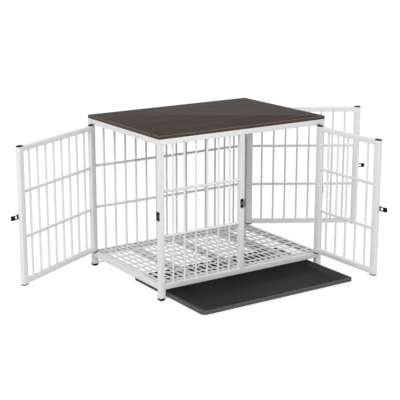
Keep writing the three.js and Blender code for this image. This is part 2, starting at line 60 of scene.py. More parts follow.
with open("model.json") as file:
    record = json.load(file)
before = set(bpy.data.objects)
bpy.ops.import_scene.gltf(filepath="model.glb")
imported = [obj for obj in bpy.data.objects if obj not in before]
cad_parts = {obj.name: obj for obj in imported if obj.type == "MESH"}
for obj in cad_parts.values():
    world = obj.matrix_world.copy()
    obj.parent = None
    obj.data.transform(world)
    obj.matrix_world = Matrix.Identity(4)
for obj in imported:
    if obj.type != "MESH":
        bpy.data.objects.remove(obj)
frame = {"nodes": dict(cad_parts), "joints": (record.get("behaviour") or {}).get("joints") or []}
CAD_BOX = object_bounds()

MM = 0.001
FLOOR_Z = CAD_BOX[0].z
JOINTS = {joint["name"]: joint for joint in frame["joints"]}

# A door's inside is to the left (1) or right (-1) of the line from its hinge to its latch.
DOOR_HAND = {"left": 1, "front": -1, "right": -1}
UP = Vector((0, 0, 1))
CORNERS = ("front_left", "front_right", "back_left", "back_right")

# A weld fillet: how far from the joint, and how much thicker than the bar it is there.
WELD_FILLET = ((0.0, 1.22), (0.8 * MM, 1.08), (2.2 * MM, 1.0))


def linear(hex_colour):
    """Linear RGBA of an sRGB hex colour."""
    channels = [int(hex_colour[i:i + 2], 16) / 255 for i in (1, 3, 5)]
    return [c / 12.92 if c <= 0.04045 else ((c + 0.055) / 1.055) ** 2.4 for c in channels] + [1.0]


WHITE = linear("#FFFFFF")


# ---------------------------------------------------------------------------- settings
def a_length(name, description, default_mm, smallest_mm=0.0):
    """A setting for a length, written here in millimetres."""
    return bpy.props.FloatProperty(
        name=name, description=description, unit="LENGTH", subtype="DISTANCE",
        default=default_mm * MM, min=smallest_mm * MM)


def a_colour(name, description, hex_colour):
    """A setting for a colour."""
    return bpy.props.FloatVectorProperty(
        name=name, description=description, subtype="COLOR", size=4, min=0, max=1,
        default=linear(hex_colour))


def a_count(name, description, default):
    """A setting for how many there are of something."""
    return bpy.props.IntProperty(name=name, description=description, default=default, min=1)


class SteelSettings(bpy.types.PropertyGroup):
    """Tubes, bars and rods of the frame, panels and doors."""

    coat: a_colour("Coat", "Colour of the powder coat", "#EEEFF0")
    corner: a_length("Tube Corner", "Outer corner radius of every square tube", 1.8, 0.1)
    wall: a_length("Tube Wall", "Wall of every tube", 1.5, 0.5)
    bead: a_length("Weld Bead", "Height of the smoothed weld round a rail's end", 0.4, 0)
    bar_radius: a_length("Bar Radius", "Radius of the upright bars", 4.75, 1)
    rod_radius: a_length("Rod Radius", "Radius of the horizontal rods", 6.35, 1)
    rod_heights: bpy.props.FloatVectorProperty(
        name="Rod Heights", description="Heights of the horizontal rods above the floor",
        unit="LENGTH", subtype="XYZ", size=2, default=(301 * MM, 510 * MM))
    door_rail: a_length("Door Rail", "Height of a door's top and bottom rails", 22, 5)
    side_door_bars: a_count("Side Door Bars", "Upright bars in each side door", 8)
    front_door_bars: a_count("Front Door Bars", "Upright bars in the front door", 5)
    front_panel_bars: a_count("Front Panel Bars", "Upright bars beside the front door", 6)
    back_panel_bars: a_count("Back Panel Bars", "Upright bars across the back", 14)
    door_end_bar: a_length("Door End Bar", "A door's upright to its first bar's middle", 50, 5)
    panel_end_bar: a_length("Panel End Bar", "A post to a panel's first bar's middle", 53, 5)


class BoardSettings(bpy.types.PropertyGroup):
    """The table top."""

    walnut: a_colour("Walnut", "Middle tone of the wood", "#3A2F26")
    walnut_dark: a_colour("Walnut Dark", "Tone of the late wood lines", "#281F19")
    walnut_light: a_colour("Walnut Light", "Tone of the early wood", "#534438")
    band: a_colour("Edge Band", "Middle tone of the edge band", "#4B3D34")
    # Bevel: a painted highlight, a paler tone along the top of the edge band.
    bevel: a_colour("Bevel", "Tone of the paler line along the edge band", "#6F6053")
    bevel_height: a_length("Bevel Height", "Height of that paler line", 2.8, 0.1)
    arris: a_length("Arris", "Rounding of the board's long edges", 1.0, 0.1)
    corner: a_length("Corner", "Radius of the board's corners, seen from above", 2.5, 0.2)


class PlasticSettings(bpy.types.PropertyGroup):
    """Moulded plastic pieces."""

    black: a_colour("Black", "Caps, feet, latches and keepers", "#070708")
    pad: a_colour("Pad", "Pads in the latches and keepers", "#7B7F83")
    grate: a_colour("Grate", "Slotted floor", "#E9EAEA")
    # Tray Edge: a painted highlight, a lighter copy of the tray's plastic for the rim and skirt.
    tray_edge_painted_highlight: a_colour("Tray Edge", "Rim and skirt of the tray, scuffed lighter", "#5C5857")
    # Tray Wall: painted light, a lighter copy of the tray's plastic for the sloped walls.
    tray_wall_painted_light: a_colour("Tray Wall", "Sloped walls of the tray, rubbed lighter", "#3F3C3A")
    tray: a_colour("Tray", "Pull-out tray", "#1E1C1B")
    edge: a_length("Moulded Edge", "Edge radius of small moulded pieces", 0.7, 0.1)


class GrateSettings(bpy.types.PropertyGroup):
    """The slots of the floor grate."""

    columns: a_count("Columns", "Slots from left to right", 28)
    rows: a_count("Rows", "Full slots from front to back", 8)
    pitch: bpy.props.FloatVectorProperty(
        name="Pitch", description="Spacing of the slots, across and along",
        unit="LENGTH", subtype="XYZ", size=2, default=(31.8 * MM, 66.4 * MM))
    width: a_length("Slot Width", "Width of a slot", 20, 1)
    length: a_length("Slot Length", "Length of a full slot", 52, 1)
    short_length: a_length("Short Slot Length", "Length of the slots at the front and back", 26, 1)
    short_y: a_length("Short Slot Place", "From the grate's middle to a short slot's", 284)
    sheet: a_length("Sheet", "Thickness of the slotted sheet", 1.8, 0.5)
    lip: a_length("Slot Lip", "Rounding of the slots' edges", 0.5, 0.1)
    rim: a_length("Rim", "Thickness of the wall down from the sheet's edge", 3, 0.5)
    rib: a_length("Rib", "Width of the ribs that rest on the floor beams", 6, 1)
    rib_webs: bpy.props.IntVectorProperty(
        name="Rib Places", description="Webs with a rib under them, counted from the middle",
        size=3, default=(-8, 0, 9))


class TraySettings(bpy.types.PropertyGroup):
    """The pull-out tray."""

    corner: a_length("Corner", "Corner radius, seen from above", 20, 1)
    rim: a_length("Rim", "Width of the flat rim", 8, 1)
    slope: a_length("Slope", "Width of the sloped walls, seen from above", 32, 1)
    sheet: a_length("Sheet", "Thickness of the plastic", 2, 0.5)
    rib_pitch: a_length("Rib Pitch", "Spacing of the ribs down the sloped walls", 12, 2)
    rib_height: a_length("Rib Height", "How far the ribs stand from the sloped walls", 0.9, 0)


class StageSettings(bpy.types.PropertyGroup):
    """Camera, lamps and floor."""

    camera: bpy.props.FloatVectorProperty(
        name="Camera", description="Where the camera stands",
        unit="LENGTH", subtype="XYZ", size=3, default=(-2.9541, -4.38771, 0.92972))
    azimuth: bpy.props.FloatProperty(
        name="Azimuth", description="Turn of the view from straight ahead",
        unit="ROTATION", subtype="ANGLE", default=math.radians(-33.634))
    elevation: bpy.props.FloatProperty(
        name="Elevation", description="How far the camera looks down",
        unit="ROTATION", subtype="ANGLE", default=math.radians(14.358))
    lens: bpy.props.FloatProperty(
        name="Lens", description="Focal length in millimetres on a 36 mm sensor",
        default=99.53, min=1)
    sky: bpy.props.FloatProperty(
        name="Sky", description="Light from all round", default=0.52, min=0)
    glow: bpy.props.FloatProperty(
        name="Floor Glow", description="Brightness of the white that the camera sees",
        default=1.1, min=0)
    glow_share: bpy.props.FloatProperty(
        name="Floor Glow Share", description="How far that white covers the floor's shadow",
        subtype="FACTOR", default=0.84, min=0, max=1)
    floor: a_colour("Floor", "Colour of the floor", "#F2F2F2")


# -------------------------------------------------------------------------- mesh making
def rounded_rectangle(low, high, radius, steps=4):
    """The outline, counterclockwise, of a rectangle with round corners."""
    corners = ((high[0], high[1], 1, 1), (low[0], high[1], -1, 1),
               (low[0], low[1], -1, -1), (high[0], low[1], 1, -1))
    points = []
    for turn, (u, v, side_u, side_v) in enumerate(corners):
        for i in range(steps + 1):
            angle = (turn + i / steps) * math.pi / 2
            points.append((u - side_u * radius + radius * math.cos(angle),
                           v - side_v * radius + radius * math.sin(angle)))
    return points


def section(low, high, axis, distance, grow, radius, steps=4):
    """A ring at a distance along an axis: a box's section, grown, with round corners."""
    u, v = (axis + 1) % 3, (axis + 2) % 3
    outline = rounded_rectangle((low[u] - grow, low[v] - grow),
                                (high[u] + grow, high[v] + grow), radius, steps)
    ring = []
    for point_u, point_v in outline:
        point = Vector()
        point[axis], point[u], point[v] = distance, point_u, point_v
        ring.append(point)
    return ring


def softened(start, end, amount):
    """Distances from start to end with how far in a softly rounded edge lies at each."""
    return [(start, amount), (start + 0.3 * amount, 0.3 * amount), (start + amount, 0.0),
            (end - amount, 0.0), (end - 0.3 * amount, 0.3 * amount), (end, amount)]


def loft(mesh, rings, closed=False):
    """Skins a run of rings of equal length, and gives its faces ring by ring.
    A closed run joins its last ring to its first; an open one is capped at both ends."""
    rows = [[mesh.verts.new(point) for point in ring] for ring in rings]
    if closed:
        rows.append(rows[0])
    bands = []
    for near, far in zip(rows, rows[1:]):
        count = len(near)
        bands.append([
            mesh.faces.new((near[i], near[(i + 1) % count], far[(i + 1) % count], far[i]))
            for i in range(count)])
    if not closed:
        bands.append([mesh.faces.new(list(reversed(rows[0]))), mesh.faces.new(rows[-1])])
    return bands


def paint(bands, finish_index):
    """Gives the faces of some bands one of their piece's finishes."""
    for band in bands:
        for face in band:
            face.material_index = finish_index


def hollow_tube(mesh, low, high, axis, steel, bead=0.0):
    """A square tube with round corners, open at both ends, with a weld bead round each end."""
    start, end = low[axis], high[axis]
    fade = 2.5 * MM
    stations = [(start, bead), (start + fade / 3, bead / 2), (start + fade, 0.0),
                (end - fade, 0.0), (end - fade / 3, bead / 2), (end, bead)]
    rings = [section(low, high, axis, distance, grow, steel.corner)
             for distance, grow in stations]
    inner_corner = max(steel.corner - steel.wall, 0.3 * MM)
    rings += [section(low, high, axis, distance, -steel.wall, inner_corner)
              for distance in (end, start)]
    loft(mesh, rings, closed=True)


def closed_tube(mesh, low, high, axis, radius, end_round=0.4 * MM):
    """A square bar or a tube with closed ends, with round corners and softened ends."""
    loft(mesh, [section(low, high, axis, distance, -inset, max(radius - inset, 0.2 * radius))
                for distance, inset in softened(low[axis], high[axis], end_round)])


def turned(mesh, start, direction, stations, sides=16):
    """A turned shape along a direction: stations are (distance, radius) pairs."""
    direction = Vector(direction).normalized()
    u = direction.orthogonal().normalized()
    v = direction.cross(u)
    rings = []
    for distance, radius in stations:
        centre = Vector(start) + direction * distance
        rings.append([
            centre + radius * (math.cos(turn) * u + math.sin(turn) * v)
            for turn in (2 * math.pi * i / sides for i in range(sides))])
    loft(mesh, rings)


def welded_bar(mesh, start, end, radius, crossings=(), crossed_radius=0.0):
    """A round bar with a weld fillet at both ends and at each bar that it crosses.
    Crossings are distances from the start."""
    start, end = Vector(start), Vector(end)
    faces = [0.0]
    for crossing in crossings:
        faces += [crossing - crossed_radius, crossing + crossed_radius]
    faces.append((end - start).length)
    stations = []
    for leaves, arrives in zip(faces[0::2], faces[1::2]):
        stations += [(leaves + away, radius * swell) for away, swell in WELD_FILLET]
        stations += [(arrives - away, radius * swell) for away, swell in reversed(WELD_FILLET)]
    turned(mesh, start, end - start, stations)


def grille(mesh, steel, low, high, bars, end_bar, depth):
    """Evenly spaced upright bars that pass through horizontal rods, in the plane y = depth.
    The corners are (x, z) pairs of the opening that they fill, and the first and last bar
    stand in from its ends by end_bar."""
    spacing = (high[0] - low[0] - 2 * end_bar) / (bars - 1)
    bury = steel.wall / 2
    levels = [FLOOR_Z + height for height in steel.rod_heights]
    for i in range(bars):
        x = low[0] + end_bar + spacing * i
        welded_bar(mesh, (x, depth, low[1] - bury), (x, depth, high[1] + bury), steel.bar_radius,
                   [z - low[1] + bury for z in levels], steel.rod_radius)
    for z in levels:
        welded_bar(mesh, (low[0] - bury, depth, z), (high[0] + bury, depth, z), steel.rod_radius)


def moulded_block(mesh, low, high, radius, steps=2):
    """A block between two corners with every edge rounded. Gives its faces."""
    pairs = list(zip(low, high))
    low, high = Vector(min(pair) for pair in pairs), Vector(max(pair) for pair in pairs)
    size = high - low
    radius = min(radius, 0.45 * min(size))
    before = set(mesh.faces)
    made = bmesh.ops.create_cube(mesh, size=1.0)["verts"]
    for vertex in made:
        vertex.co = low + Vector(size[i] * (vertex.co[i] + 0.5) for i in range(3))
    edges = list(dict.fromkeys(edge for vertex in made for edge in vertex.link_edges))
    bmesh.ops.bevel(mesh, geom=edges, offset=radius, segments=steps, profile=0.5,
                    affect="EDGES")
    return [face for face in mesh.faces if face not in before]


# ---------------------------------------------------------------------------- materials
# Noise mostly lies between these two values, so this is the span that is spread out.
NOISE_SPAN = (0.3, 0.7)


def add_node(owner, kind, settings=None, inputs=(), stops=(), **sockets):
    """Adds a shader node with its settings. Its sockets, in order or by name, each get a
    value, another node's output, or a node, which stands for its first output in use.
    Stops are the (position, colour) pairs of a colour ramp."""
    tree = owner.node_tree
    made = tree.nodes.new(kind)
    for setting, value in (settings or {}).items():
        setattr(made, setting, value)
    given = list(zip(made.inputs, inputs))
    given += [(made.inputs[name.replace("_", " ")], value) for name, value in sockets.items()]
    for socket, value in given:
        if isinstance(value, bpy.types.Node):
            value = next(output for output in value.outputs if output.enabled)
        if isinstance(value, bpy.types.NodeSocket):
            tree.links.new(value, socket)
        else:
            socket.default_value = value
    if stops:
        elements = made.color_ramp.elements
        while len(elements) < len(stops):
            elements.new(0.5)
        for element, stop in zip(elements, stops):
            element.position, element.color = stop
    return made


def new_material(name):
    """An empty node material, and its object coordinates in metres."""
    material = bpy.data.materials.new(name)
    material.use_nodes = True
    material.node_tree.nodes.clear()
    place = add_node(material, "ShaderNodeTexCoord").outputs["Object"]
    return material, place


def grain_noise(material, place, size_mm, detail=2.0, stretch=(1, 1, 1)):
    """Noise whose grain is a size in millimetres, stretched along an axis."""
    mapping = add_node(material, "ShaderNodeMapping", Vector=place,
                       Scale=[1 / (size_mm * MM * s) for s in stretch])
    return add_node(material, "ShaderNodeTexNoise", Vector=mapping, Scale=1.0, Detail=detail,
                    Roughness=0.55)


def shaded(colour, amount):
    """A colour made lighter or darker by a share of itself."""
    return [min(1.0, channel * amount) for channel in colour[:3]] + [1.0]


def finish_surface(material, colour, roughness, height, depth_mm, ior, **constants):
    """Ends a material: a principled surface with a bump of a real depth."""
    bump = add_node(material, "ShaderNodeBump", Height=height, Strength=1.0,
                    Distance=depth_mm * MM)
    surface = add_node(material, "ShaderNodeBsdfPrincipled", Base_Color=colour,
                       Roughness=roughness, Normal=bump, IOR=ior, **constants)
    add_node(material, "ShaderNodeOutputMaterial", Surface=surface)
    return material


def powder_coated_steel():
    """Mild steel, sprayed with polyester powder and baked: satin, with a soft orange peel."""
    coat = bpy.context.scene.crate_steel.coat
    material, place = new_material("powder_coated_steel")
    tone = grain_noise(material, place, 90)
    colour = add_node(material, "ShaderNodeValToRGB", Fac=tone,
                      stops=[(0.3, shaded(coat, 0.975)), (0.7, shaded(coat, 1.01))])
    peel = grain_noise(material, place, 2.2)
    roughness = add_node(material, "ShaderNodeMapRange",
                         inputs=(peel, *NOISE_SPAN, 0.38, 0.48))
    return finish_surface(material, colour, roughness, peel, 0.02, 1.5, Specular_IOR_Level=0.35)


def melamine_walnut():
    """Chipboard faced with printed melamine: matt, with long straight grain and pressed pores."""
    board = bpy.context.scene.crate_board
    material, place = new_material("melamine_walnut")
    # Broad bands of growth, wandering a little along the board.
    figure = grain_noise(material, place, 34, 3.0, (14, 1, 1))
    lines = grain_noise(material, place, 5.5, 4.0, (60, 1, 1))
    fibres = grain_noise(material, place, 1.6, 2.0, (50, 1, 1))
    for share, layer in ((0.45, lines), (0.25, fibres)):
        figure = add_node(material, "ShaderNodeMix", {"data_type": "FLOAT"}, Factor=share,
                          A=figure, B=layer)
    colour = add_node(material, "ShaderNodeValToRGB", Fac=figure,
                      stops=[(0.34, board.walnut_dark), (0.5, board.walnut),
                             (0.66, board.walnut_light)])
    # Pores: short dark dashes along the grain, drawn 1.2 mm wide so that they show.
    pores = grain_noise(material, place, 1.2, 1.0, (22, 1, 1))
    dashes = add_node(material, "ShaderNodeValToRGB", Fac=pores,
                      stops=[(0.36, linear("#B8B8B8")), (0.44, WHITE)])
    colour = add_node(material, "ShaderNodeMix", {"data_type": "RGBA", "blend_type": "MULTIPLY"},
                      Factor=0.6, A=colour, B=dashes)
    roughness = add_node(material, "ShaderNodeMapRange",
                         inputs=(lines, *NOISE_SPAN, 0.62, 0.74))
    return finish_surface(material, colour, roughness, pores, 0.06, 1.5, Specular_IOR_Level=0.08)


def banding(name, tone):
    """ABS edge banding printed as walnut, with grain along its run."""
    material, place = new_material(name)
    lines = grain_noise(material, place, 3.0, 3.0, (40, 40, 1))
    colour = add_node(material, "ShaderNodeValToRGB", Fac=lines,
                      stops=[(0.35, shaded(tone, 0.72)), (0.5, tone),
                             (0.62, shaded(tone, 1.22))])
    fibres = grain_noise(material, place, 0.8, 1.0, (30, 30, 1))
    roughness = add_node(material, "ShaderNodeMapRange",
                         inputs=(fibres, *NOISE_SPAN, 0.5, 0.6))
    return finish_surface(material, colour, roughness, fibres, 0.03, 1.5, Specular_IOR_Level=0.25)


def edge_band():
    """The banding itself, a little paler than the board's face."""
    return banding("edge_band_walnut", bpy.context.scene.crate_board.band)


def painted_highlight_band():
    """The banding's top edge, painted paler as a highlight where light catches it."""
    return banding("trimmed_edge_band_walnut", bpy.context.scene.crate_board.bevel)


# Each plastic's material, grain in millimetres, roughness, specular level and mottling.
PLASTICS = {
    # ABS of the caps, feet, latches and keepers: black, with a low even sheen.
    "black": ("black_moulded_abs", 0.9, 0.42, 0.15, 0.06),
    # Nylon of the pads that the latches and keepers run on: grey and a little waxy.
    "pad": ("grey_moulded_nylon", 0.7, 0.4, 0.5, 0.06),
    # Polypropylene of the slotted floor: white, nearly even, with a soft gloss.
    "grate": ("white_moulded_polypropylene", 1.4, 0.46, 0.45, 0.015),
    # Vacuum-formed polystyrene of the tray: a leathery grain and soft, uneven gloss.
    "tray": ("vacuum_formed_polystyrene", 1.8, 0.55, 0.1, 0.09),
    # The same on the sloped and ribbed walls, painted a little lighter as painted light where
    # light falls on the slopes.
    "tray_wall_painted_light": ("rubbed_polystyrene", 1.8, 0.55, 0.1, 0.09),
    # The same on the rim and skirt, painted lighter: a painted highlight where they catch the
    # light.
    "tray_edge_painted_highlight": ("scuffed_polystyrene", 1.8, 0.5, 0.2, 0.09),
}


def moulded_plastic(kind):
    """A plastic with the grain of its mould and soft mottling."""
    name, grain_mm, roughness, specular, mottle = PLASTICS[kind]
    colour = getattr(bpy.context.scene.crate_plastic, kind)
    material, place = new_material(name)
    tone = grain_noise(material, place, 60, 3.0)
    mottled = add_node(material, "ShaderNodeValToRGB", Fac=tone,
                       stops=[(0.3, shaded(colour, 1 - mottle)),
                              (0.7, shaded(colour, 1 + mottle))])
    grain = grain_noise(material, place, grain_mm, 2.0)
    rough = add_node(material, "ShaderNodeMapRange",
                     inputs=(grain, *NOISE_SPAN, roughness - 0.04, roughness + 0.06))
    return finish_surface(material, mottled, rough, grain, 0.03, 1.49,
                          Specular_IOR_Level=specular)


def zinc_plated_steel():
    """Turned steel screws with bright zinc plating: clear metal with fine turning marks."""
    material, place = new_material("zinc_plated_steel")
    marks = grain_noise(material, place, 1.0, 2.0)
    colour = add_node(material, "ShaderNodeValToRGB", Fac=marks,
                      stops=[(0.3, linear("#B9BCC0")), (0.7, linear("#D4D6D8"))])
    roughness = add_node(material, "ShaderNodeMapRange",
                         inputs=(marks, *NOISE_SPAN, 0.24, 0.38))
    return finish_surface(material, colour, roughness, marks, 0.01, 1.5, Metallic=1.0)


# The name of each finish, and what makes the ones that aren't plastics.
MAKERS = {
    "steel": powder_coated_steel,
    "walnut": melamine_walnut,
    "band": edge_band,
    # The paler tone along the top arris is a painted highlight.
    "bevel": painted_highlight_band,
    "zinc": zinc_plated_steel,
}
made_finishes = {}


def finish(name):
    """A finish's material, made the first time that it is asked for."""
    if name not in made_finishes:
        made_finishes[name] = MAKERS[name]() if name in MAKERS else moulded_plastic(name)
    return made_finishes[name]


def add_piece(name, mesh, body, finishes, node, place=None, sharp=35):
    """Turns a mesh into a piece that rides on a body and stands for a CAD node."""
    if place is not None:
        bmesh.ops.transform(mesh, matrix=place, verts=mesh.verts)
    bmesh.ops.recalc_face_normals(mesh, faces=mesh.faces)
    data = bpy.data.meshes.new(name)
    mesh.to_mesh(data)
    mesh.free()
    for each in finishes:
        data.materials.append(finish(each))
    data.shade_smooth()
    data.set_sharp_from_angle(angle=math.radians(sharp))
    piece = bpy.data.objects.new(name, data)
    bpy.context.scene.collection.objects.link(piece)
    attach(piece, body)
    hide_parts(node)


# -------------------------------------------------------------------- places in the frame
def place_at(origin, along, inwards):
    """To the frame, from coordinates with x along, y inwards and z up."""
    flat = Vector((origin[0], origin[1], 0))
    return Matrix.Translation(flat) @ Matrix((along, inwards, UP)).transposed().to_4x4()


def door_place(side):
    """To the frame, from x along a door from its hinge and y inwards through it."""
    along = Vector(JOINTS[f"{side}_latch_slide"]["axis"]).normalized()
    return place_at(JOINTS[f"{side}_door_hinge"]["pos_m"], along,
                    UP.cross(along) * DOOR_HAND[side])


def local_box(node, place):
    """A node's lowest and highest corner in the coordinates of a place."""
    to_local = place.inverted()
    points = [to_local @ vertex.co for vertex in frame["nodes"][node].data.vertices]
    low = Vector(min(p[i] for p in points) for i in range(3))
    high = Vector(max(p[i] for p in points) for i in range(3))
    return low, high


def at_side(box, axis, side):
    """Where a box (low, high) ends along an axis, on its high side (1) or low side (-1)."""
    return box[1 if side > 0 else 0][axis]


# ----------------------------------------------------------------------------- operators
class CRATE_OT_table_top(bpy.types.Operator):
    """Builds the walnut board with its edge band"""

    bl_idname = "crate_table.table_top"
    bl_label = "Table Top"

    def execute(self, context):
        board = context.scene.crate_board
        low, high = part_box("table_top")
        levels = softened(low.z, high.z, board.arris)
        levels.insert(3, (high.z - board.arris - board.bevel_height, 0.0))
        mesh = bmesh.new()
        bands = loft(mesh, [section(low, high, 2, z, -inset, board.corner)
                            for z, inset in levels])
        # The bottom arris and the side take the band's tone. The top arris and the strip below it
        # take the paler tone, a painted highlight.
        paint(bands[:3], 1)
        paint(bands[3:6], 2)
        add_piece("table_top_board", mesh, "crate", ("walnut", "band", "bevel"), "table_top",
                  sharp=50)
        return {"FINISHED"}


class CRATE_OT_steel_frame(bpy.types.Operator):
    """Builds the square tubes of the crate: rails, posts and floor beams"""

    bl_idname = "crate_table.steel_frame"
    bl_label = "Steel Frame"

    def execute(self, context):
        steel = context.scene.crate_steel
        end_round = 0.8 * MM
        for node in ("top_rail_front", "top_rail_back"):
            mesh = bmesh.new()
            closed_tube(mesh, *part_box(node), 0, steel.corner, end_round)
            add_piece(f"{node}_tube", mesh, "crate", ("steel",), node)
        corner_posts = [f"post_{corner}" for corner in CORNERS]
        # The open tubes by the axis that they run along.
        open_tubes = (
            (1, ("top_rail_left", "top_rail_right")),
            (0, ("bottom_rail_front", "bottom_rail_back")),
            (1, ("bottom_rail_left", "bottom_rail_right")),
            (2, (*corner_posts, "post_front_middle")),
            (1, ("floor_beam_left", "floor_beam_middle", "floor_beam_right")),
        )
        for axis, nodes in open_tubes:
            for node in nodes:
                mesh = bmesh.new()
                bead = 0.0 if node in corner_posts else steel.bead
                hollow_tube(mesh, *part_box(node), axis, steel, bead)
                add_piece(f"{node}_tube", mesh, "crate", ("steel",), node)
        return {"FINISHED"}


class CRATE_OT_panels(bpy.types.Operator):
    """Builds the fixed bars beside the front door and across the back"""

    bl_idname = "crate_table.panels"
    bl_label = "Fixed Panels"

    def execute(self, context):
        steel = context.scene.crate_steel
        for place, bars in (("front", steel.front_panel_bars), ("back", steel.back_panel_bars)):
            node = f"{place}_panel_grille"
            low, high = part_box(node)
            mesh = bmesh.new()
            grille(mesh, steel, (low.x, low.z), (high.x, high.z), bars, steel.panel_end_bar,
                   (low.y + high.y) / 2)
            add_piece(f"{place}_panel_bars", mesh, "crate", ("steel",), node)
        return {"FINISHED"}


class CRATE_OT_feet(bpy.types.Operator):
    """Builds the black foot caps under the posts"""

    bl_idname = "crate_table.feet"
    bl_label = "Feet"

    def execute(self, context):
        plug_gap = 0.3 * MM
        cap_corner = 4.5 * MM
        plug_reach = 1 * MM
        clear = context.scene.crate_steel.wall + plug_gap
        plug_inset = Vector((clear, clear, 0))
        for corner in CORNERS:
            node = f"foot_{corner}"
            low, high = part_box(node)
            post_low, post_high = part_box(f"post_{corner}")
            top = (post_low.z - low.z) / MM
            # Heights above the floor, and how far in from the cap's side the foot is there, in mm.
            levels = [(0.0, 5.0), (0.5, 4.2), (2.0, 2.6), (3.6, 1.2), (5.4, 0.3), (7.0, 0.0),
                      (top - 0.9, 0.0), (top, 0.9)]
            mesh = bmesh.new()
            loft(mesh, [section(low, high, 2, low.z + height * MM, -inset * MM, cap_corner)
                        for height, inset in levels])
            plug_low = Vector((post_low.x, post_low.y, post_low.z - plug_reach)) + plug_inset
            plug_high = Vector((post_high.x, post_high.y, high.z)) - plug_inset
            closed_tube(mesh, plug_low, plug_high, 2, 1 * MM)
            add_piece(f"foot_cap_{corner}", mesh, "crate", ("black",), node)
        return {"FINISHED"}


class CRATE_OT_frame_bolts(bpy.types.Operator):
    """Builds the domed bolts with hexagon sockets in the side rails"""

    bl_idname = "crate_table.frame_bolts"
    bl_label = "Frame Bolts"

    def execute(self, context):
        places = [(row, place, side, end) for row in ("top", "bottom")
                  for place, side in (("left", -1), ("right", 1)) for end in ("front", "back")]
        for row, place, side, end in places:
            node = f"frame_bolt_{row}_{place}_{end}"
            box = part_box(node)
            low, high = box
            centre = (low + high) / 2
            centre.x = at_side(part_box(f"{row}_rail_{place}"), 0, side)
            head = (high.y - low.y) / 2
            dome = abs(at_side(box, 0, side) - centre.x)
            shank = 2.5 * MM
            stations = [(-9 * MM, 0.8 * shank), (-8.4 * MM, shank), (0.0, shank), (0.0, head)]
            stations += [(dome * math.sin(a), head * math.cos(a))
                         for a in map(math.radians, (8, 25, 42, 56))]
            # The socket: its mouth, its wall and its floor.
            stations += [(dome, 0.36 * head), (dome * 0.55, 0.34 * head),
                         (dome * 0.45, 0.05 * head)]
            mesh = bmesh.new()
            turned(mesh, centre, (side, 0, 0), stations, 24)
            add_piece(f"bolt_{row}_{place}_{end}", mesh, "crate", ("zinc",), node)
        return {"FINISHED"}


class CRATE_OT_floor_grate(bpy.types.Operator):
    """Builds the slotted plastic floor, one cell round each slot"""

    bl_idname = "crate_table.floor_grate"
    bl_label = "Floor Grate"

    def execute(self, context):
        grate = context.scene.crate_grate
        low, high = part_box("floor_grate")
        pitch_x, pitch_y = grate.pitch
        levels = (high.z - grate.sheet, high.z)
        mesh = bmesh.new()
        reach = grate.rows * pitch_y / 2
        rows = [(*row, grate.length) for row in self.spans(grate.rows, pitch_y, None, None)]
        rows += [(-grate.short_y, low.y, -reach, grate.short_length),
                 (grate.short_y, reach, high.y, grate.short_length)]
        for x, left, right in self.spans(grate.columns, pitch_x, low.x, high.x):
            for y, front, back, slot_length in rows:
                self.add_cell(mesh, grate, (x, y), (left, front), (right, back), levels,
                              slot_length)
        bmesh.ops.remove_doubles(mesh, verts=mesh.verts, dist=0.02 * MM)
        outline = [edge for edge in mesh.edges if edge.is_boundary]
        bmesh.ops.bridge_loops(mesh, edges=outline)
        under = high.z - 0.5 * grate.sheet
        edge = 0.4 * MM
        for near, far in (((low.x, low.y), (high.x, low.y + grate.rim)),
                          ((low.x, high.y - grate.rim), (high.x, high.y)),
                          ((low.x, low.y), (low.x + grate.rim, high.y)),
                          ((high.x - grate.rim, low.y), (high.x, high.y))):
            moulded_block(mesh, (*near, low.z), (*far, under), edge)
        for web in grate.rib_webs:
            x = web * pitch_x
            moulded_block(mesh, (x - grate.rib / 2, low.y + grate.rim, low.z),
                          (x + grate.rib / 2, high.y - grate.rim, under), edge)
        add_piece("slotted_floor", mesh, "crate", ("grate",), "floor_grate", sharp=50)
        return {"FINISHED"}

    @staticmethod
    def spans(count, pitch, first, last):
        """The middle, start and end of each cell in a row; the outer ones may end elsewhere."""
        cells = []
        for i in range(count):
            middle = (i - (count - 1) / 2) * pitch
            start = first if i == 0 and first is not None else middle - pitch / 2
            end = last if i == count - 1 and last is not None else middle + pitch / 2
            cells.append((middle, start, end))
        return cells

    @staticmethod
    def add_cell(mesh, grate, middle, low, high, levels, slot_length):
        """The top, slot walls and underside of one cell, with a slot that has round ends."""
        steps = 8
        radius = grate.width / 2
        end_y = slot_length / 2 - radius
        quarter = grate.pitch[0] / 4
        border, slot = [], []
        for half, side in ((0, 1), (1, -1)):
            far = at_side((low, high), 1, side)
            centre_y = middle[1] + side * end_y
            half_way = (centre_y + far) / 2
            edge = [(high[0], centre_y), (high[0], half_way), (high[0], far),
                    (middle[0] + quarter, far), (middle[0], far), (middle[0] - quarter, far),
                    (low[0], far), (low[0], half_way), (low[0], centre_y)]
            border += edge if side > 0 else list(reversed(edge))
            for i in range(steps + 1):
                angle = math.pi * (half + i / steps)
                slot.append((math.cos(angle), centre_y, math.sin(angle)))
        lip = grate.lip

        def slot_ring(z, grow):
            return [mesh.verts.new((middle[0] + (radius + grow) * c, y + (radius + grow) * s, z))
                    for c, y, s in slot]

        bottom, top = levels
        rings = [
            [mesh.verts.new((x, y, top)) for x, y in border],
            slot_ring(top, lip),
            slot_ring(top - 0.3 * lip, 0.3 * lip),
            slot_ring(top - lip, 0.0),
            slot_ring(bottom + 0.5 * lip, 0.0),
            slot_ring(bottom, 0.5 * lip),
            [mesh.verts.new((x, y, bottom)) for x, y in border],
        ]
        count = len(border)
        for near, far in zip(rings, rings[1:]):
            for i in range(count):
                j = (i + 1) % count
                mesh.faces.new((near[i], near[j], far[j], far[i]))


